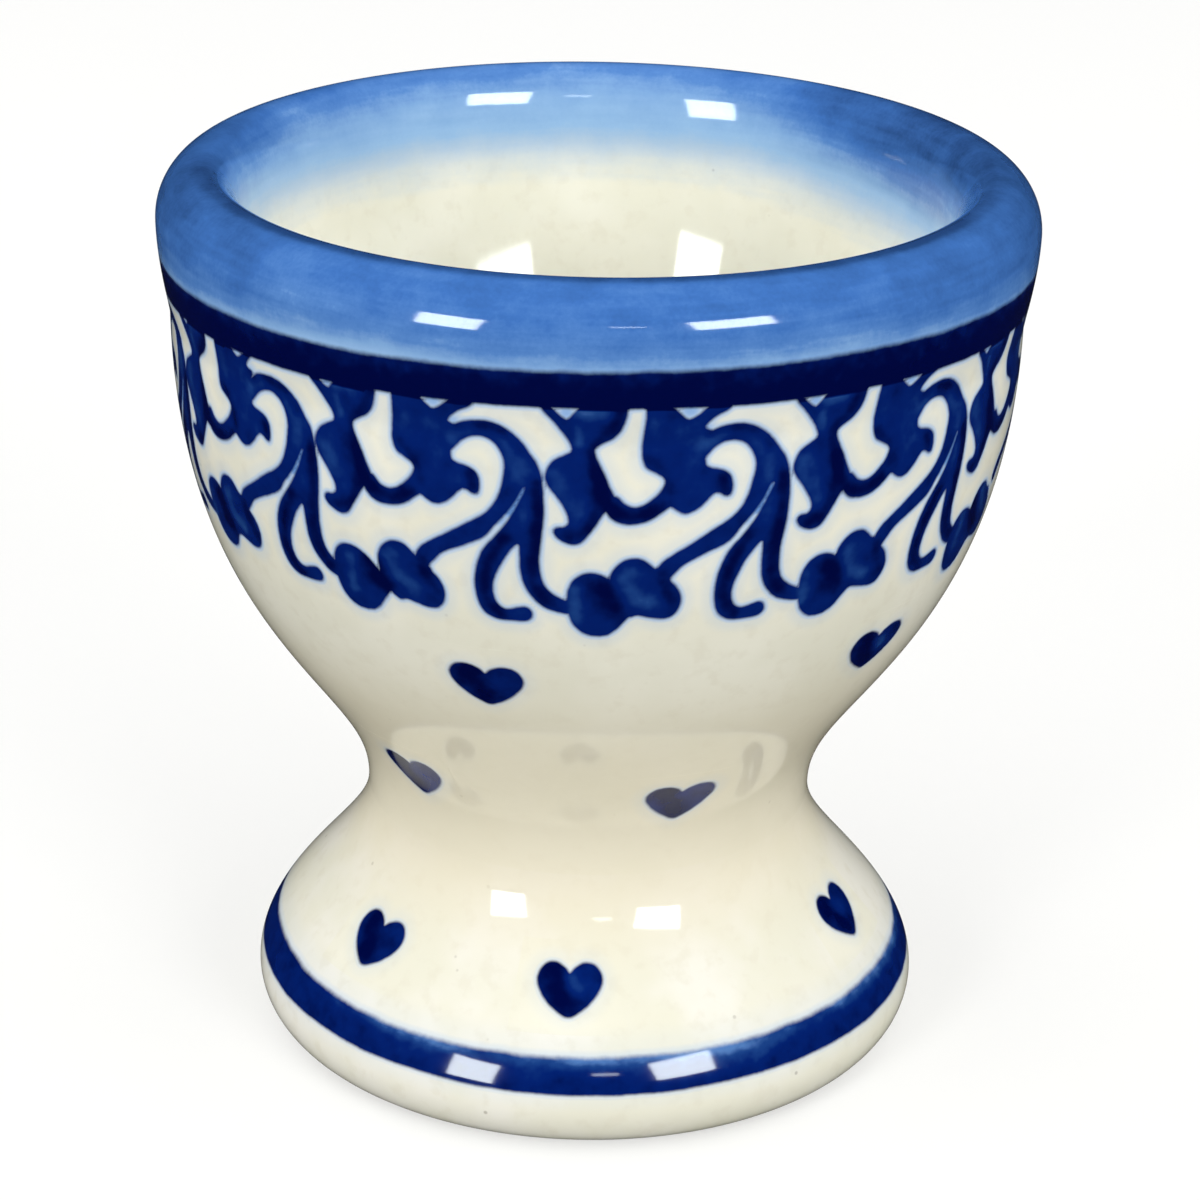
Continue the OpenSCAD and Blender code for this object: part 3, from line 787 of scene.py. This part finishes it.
def heart_paint(points):
    """The wall's paint with the hearts on it, each in the middle of its patch."""
    values = paint(points)
    x, y, z = points.T
    ink = np.full(len(z), -INK_REACH)
    tone = np.zeros(len(z))
    loop = smooth_loop(HEART)
    for number, (angle, height) in enumerate(HEARTS):
        line = wall if height > WAIST_H else foot_wall
        turn = np.arctan2(x, -y) - math.radians(angle)
        across = ((turn + math.pi) % (2 * math.pi) - math.pi) * radius_at(line, height)
        up = run_at(line, z) - run_at(line, height)
        near = np.where((abs(across) < PATCH_ACROSS + 0.1) & (abs(up) < PATCH_UP + 0.1)
                        & ((z > WAIST_H) == (height > WAIST_H)))[0]
        local = np.stack([across[near], up[near]], 1)
        share = (1.0, 1.0) if height > WAIST_H else FOOT_HEART_SHARE
        ink[near] = distance_inside(local, loop * share)
        tone[near] = HEART_TONE + STROKE_DEPTH * glow(local, np.array(HEART_STROKE), STROKE_W)
        # The worn spot is on the left in one of five
        spot = np.array(HEART_SPOT) * ((-1)**(number % 5 == 2), 1)
        tone[near] -= SPOT_DEPTHS[number % 4] * glow(local, spot, SPOT_W)
    # The ring on the foot goes on under the patches of the lowest hearts
    ring = (z > RING_REACH_LOW) & (z < RING_HEART_H)
    brushed = values["ink"]
    values["tone"] = np.where(ring & (brushed > ink), values["tone"], tone)
    values["ink"] = np.where(ring, np.maximum(ink, brushed), ink)
    values["tint"] = np.full(len(z), HALF_HAZE)
    return values


finish_piece("stamped_hearts", heart_patches(),
             glazed_stoneware("cobalt_heart_glaze"), "scattered_hearts", heart_paint)

# The camera, as fitted to the photo: where it stands in metres, how it is turned, and its
# focal length in the photo's own pixels
CAMERA_SPOT = (0, -0.1962, 0.1106)
SENSOR_W, FOCAL_PIXELS, PHOTO_PIXELS = 36, 3375.9, 1200
yaw, pitch, roll = 0.0027, math.radians(22.94), math.radians(1.155)
forward = Vector((math.sin(yaw) * math.cos(pitch), math.cos(yaw) * math.cos(pitch), -math.sin(pitch)))
right = forward.cross(Vector((0, 0, 1))).normalized()
upward = right.cross(forward)
right, upward = (math.cos(roll) * right + math.sin(roll) * upward,
                 -math.sin(roll) * right + math.cos(roll) * upward)
camera_data = bpy.data.cameras.new("photo_camera")
camera_data.sensor_width = SENSOR_W
camera_data.lens = SENSOR_W * FOCAL_PIXELS / PHOTO_PIXELS
camera_data.clip_start = 0.01
camera = bpy.data.objects.new("photo_camera", camera_data)
bpy.context.scene.collection.objects.link(camera)
axes = Matrix((right, upward, -forward)).transposed().to_4x4()
camera.matrix_world = Matrix.Translation(CAMERA_SPOT) @ axes
bpy.context.scene.camera = camera

# Height of the cup's middle, at which the lamps are aimed, and how far away their mirrored
# faces stand, in metres
AIM_H = 0.028
FACE_DISTANCE = 3.0


def softbox(name, azimuth, elevation, wide, high, radiance, distance=1.0, tint=(1, 1, 1)):
    """A rectangular lamp, placed by the direction in which the cup sees it, in degrees."""
    a, e = math.radians(azimuth), math.radians(elevation)
    data = bpy.data.lights.new(name, "AREA")
    data.shape = "RECTANGLE"
    data.size = 2 * distance * math.tan(math.radians(wide / 2))
    data.size_y = 2 * distance * math.tan(math.radians(high / 2))
    data.energy = radiance * math.pi * data.size * data.size_y
    data.color = tint
    lamp = bpy.data.objects.new(name, data)
    bpy.context.scene.collection.objects.link(lamp)
    spot = Vector((distance * math.cos(e) * math.sin(a), -distance * math.cos(e) * math.cos(a),
                   distance * math.sin(e) + AIM_H))
    lamp.location = spot
    lamp.rotation_euler = (Vector((0, 0, AIM_H)) - spot).to_track_quat("-Z", "Y").to_euler()
    return lamp


# Two softboxes with a slit lamp between them: their faces, as the glaze mirrors them.
# Azimuth and elevation, width and height in degrees, and radiance
for name, *numbers in (
        ("left_softbox_face", -37.4, 17.5, 15.8, 18.5, 30.0),
        ("right_softbox_face", 35.3, 25.2, 19.8, 14.2, 30.0),
        ("slit_lamp_face", 8.0, 26.5, 8.0, 2.2, 12.0)):
    softbox(name, *numbers, FACE_DISTANCE, tint=(0.93, 1, 1)).visible_diffuse = False
# Their light, and soft fill from both sides and above, which the glaze doesn't mirror
for name, *numbers in (
        ("left_softbox", -37.5, 22.5, 15, 18, 14.0),
        ("right_softbox", 37.5, 23, 23, 18, 10.4),
        ("left_fill", -95, 25, 75, 50, 1.25),
        ("right_fill", 95, 25, 75, 50, 1.1),
        ("top_fill", 0, 88, 75, 75, 1.2)):
    softbox(name, *numbers).visible_glossy = False


def rays_that_see(tree):
    """Is 1 for the rays that show the background itself, straight, mirrored or through glass."""
    seen = add(tree, "LightPath", output="Is Camera Ray")
    rays = seen.node.outputs
    for ray in ("Is Glossy Ray", "Is Transmission Ray"):
        seen = add(tree, "Math", [seen, rays[ray]], operation="MAXIMUM")
    return seen


# A dim room that looks white past the floor's edge
world = bpy.data.worlds.new("studio")
bpy.context.scene.world = world
tree = emptied(world)
dim = add(tree, "Background", {"Color": linear("#FFFFFF"), "Strength": 0.04})
white = add(tree, "Background", {"Color": linear("#FFFFFF"), "Strength": 1.0})
room = add(tree, "MixShader", [rays_that_see(tree), dim, white])
add(tree, "OutputWorld", {"Surface": room})


# Half the floor's and the black card's width, the card's height over the floor, and the
# tent's radius, in metres
FLOOR_HALF, CARD_HALF, CARD_H, TENT_R = 0.9, 3.8, 0.0001, 3.9


def flat_sheet(size, height):
    bm = bmesh.new()
    bmesh.ops.create_grid(bm, x_segments=1, y_segments=1, size=size)
    bmesh.ops.translate(bm, verts=bm.verts, vec=(0, 0, height))
    return bm


# White paper: the floor keeps the cup's shadow, and is lifted to white where it is seen
paper = bpy.data.materials.new("white_paper")
tree = emptied(paper)
matt = add(tree, "BsdfDiffuse", {"Color": linear("#B4B4B2")})
lift = add(tree, "Emission", {"Color": linear("#FFFFFF"), "Strength": 0.54})
none = add(tree, "Emission", {"Strength": 0.0})
extra = add(tree, "MixShader", [rays_that_see(tree), none, lift])
whole = add(tree, "AddShader", [matt, extra])
add(tree, "OutputMaterial", {"Surface": whole})
made_object("pale_floor", flat_sheet(FLOOR_HALF, 0.0), paper)

# Black flocked card on it and a tent of black cloth round the lamps, which only the glaze
# mirrors, so that the dark colours stay deep
flock = bpy.data.materials.new("black_flocked_card")
tree = emptied(flock)
matt = add(tree, "BsdfDiffuse", {"Color": linear("#141414")})
add(tree, "OutputMaterial", {"Surface": matt})
dome = bmesh.new()
bmesh.ops.create_uvsphere(dome, u_segments=32, v_segments=16, radius=TENT_R)
for name, bm in (("black_card", flat_sheet(CARD_HALF, CARD_H)), ("black_tent", dome)):
    cloth = made_object(name, bm, flock)
    for ray in ("camera", "diffuse", "transmission", "volume_scatter", "shadow"):
        setattr(cloth, "visible_" + ray, False)

bpy.context.scene.view_settings.view_transform = "Standard"
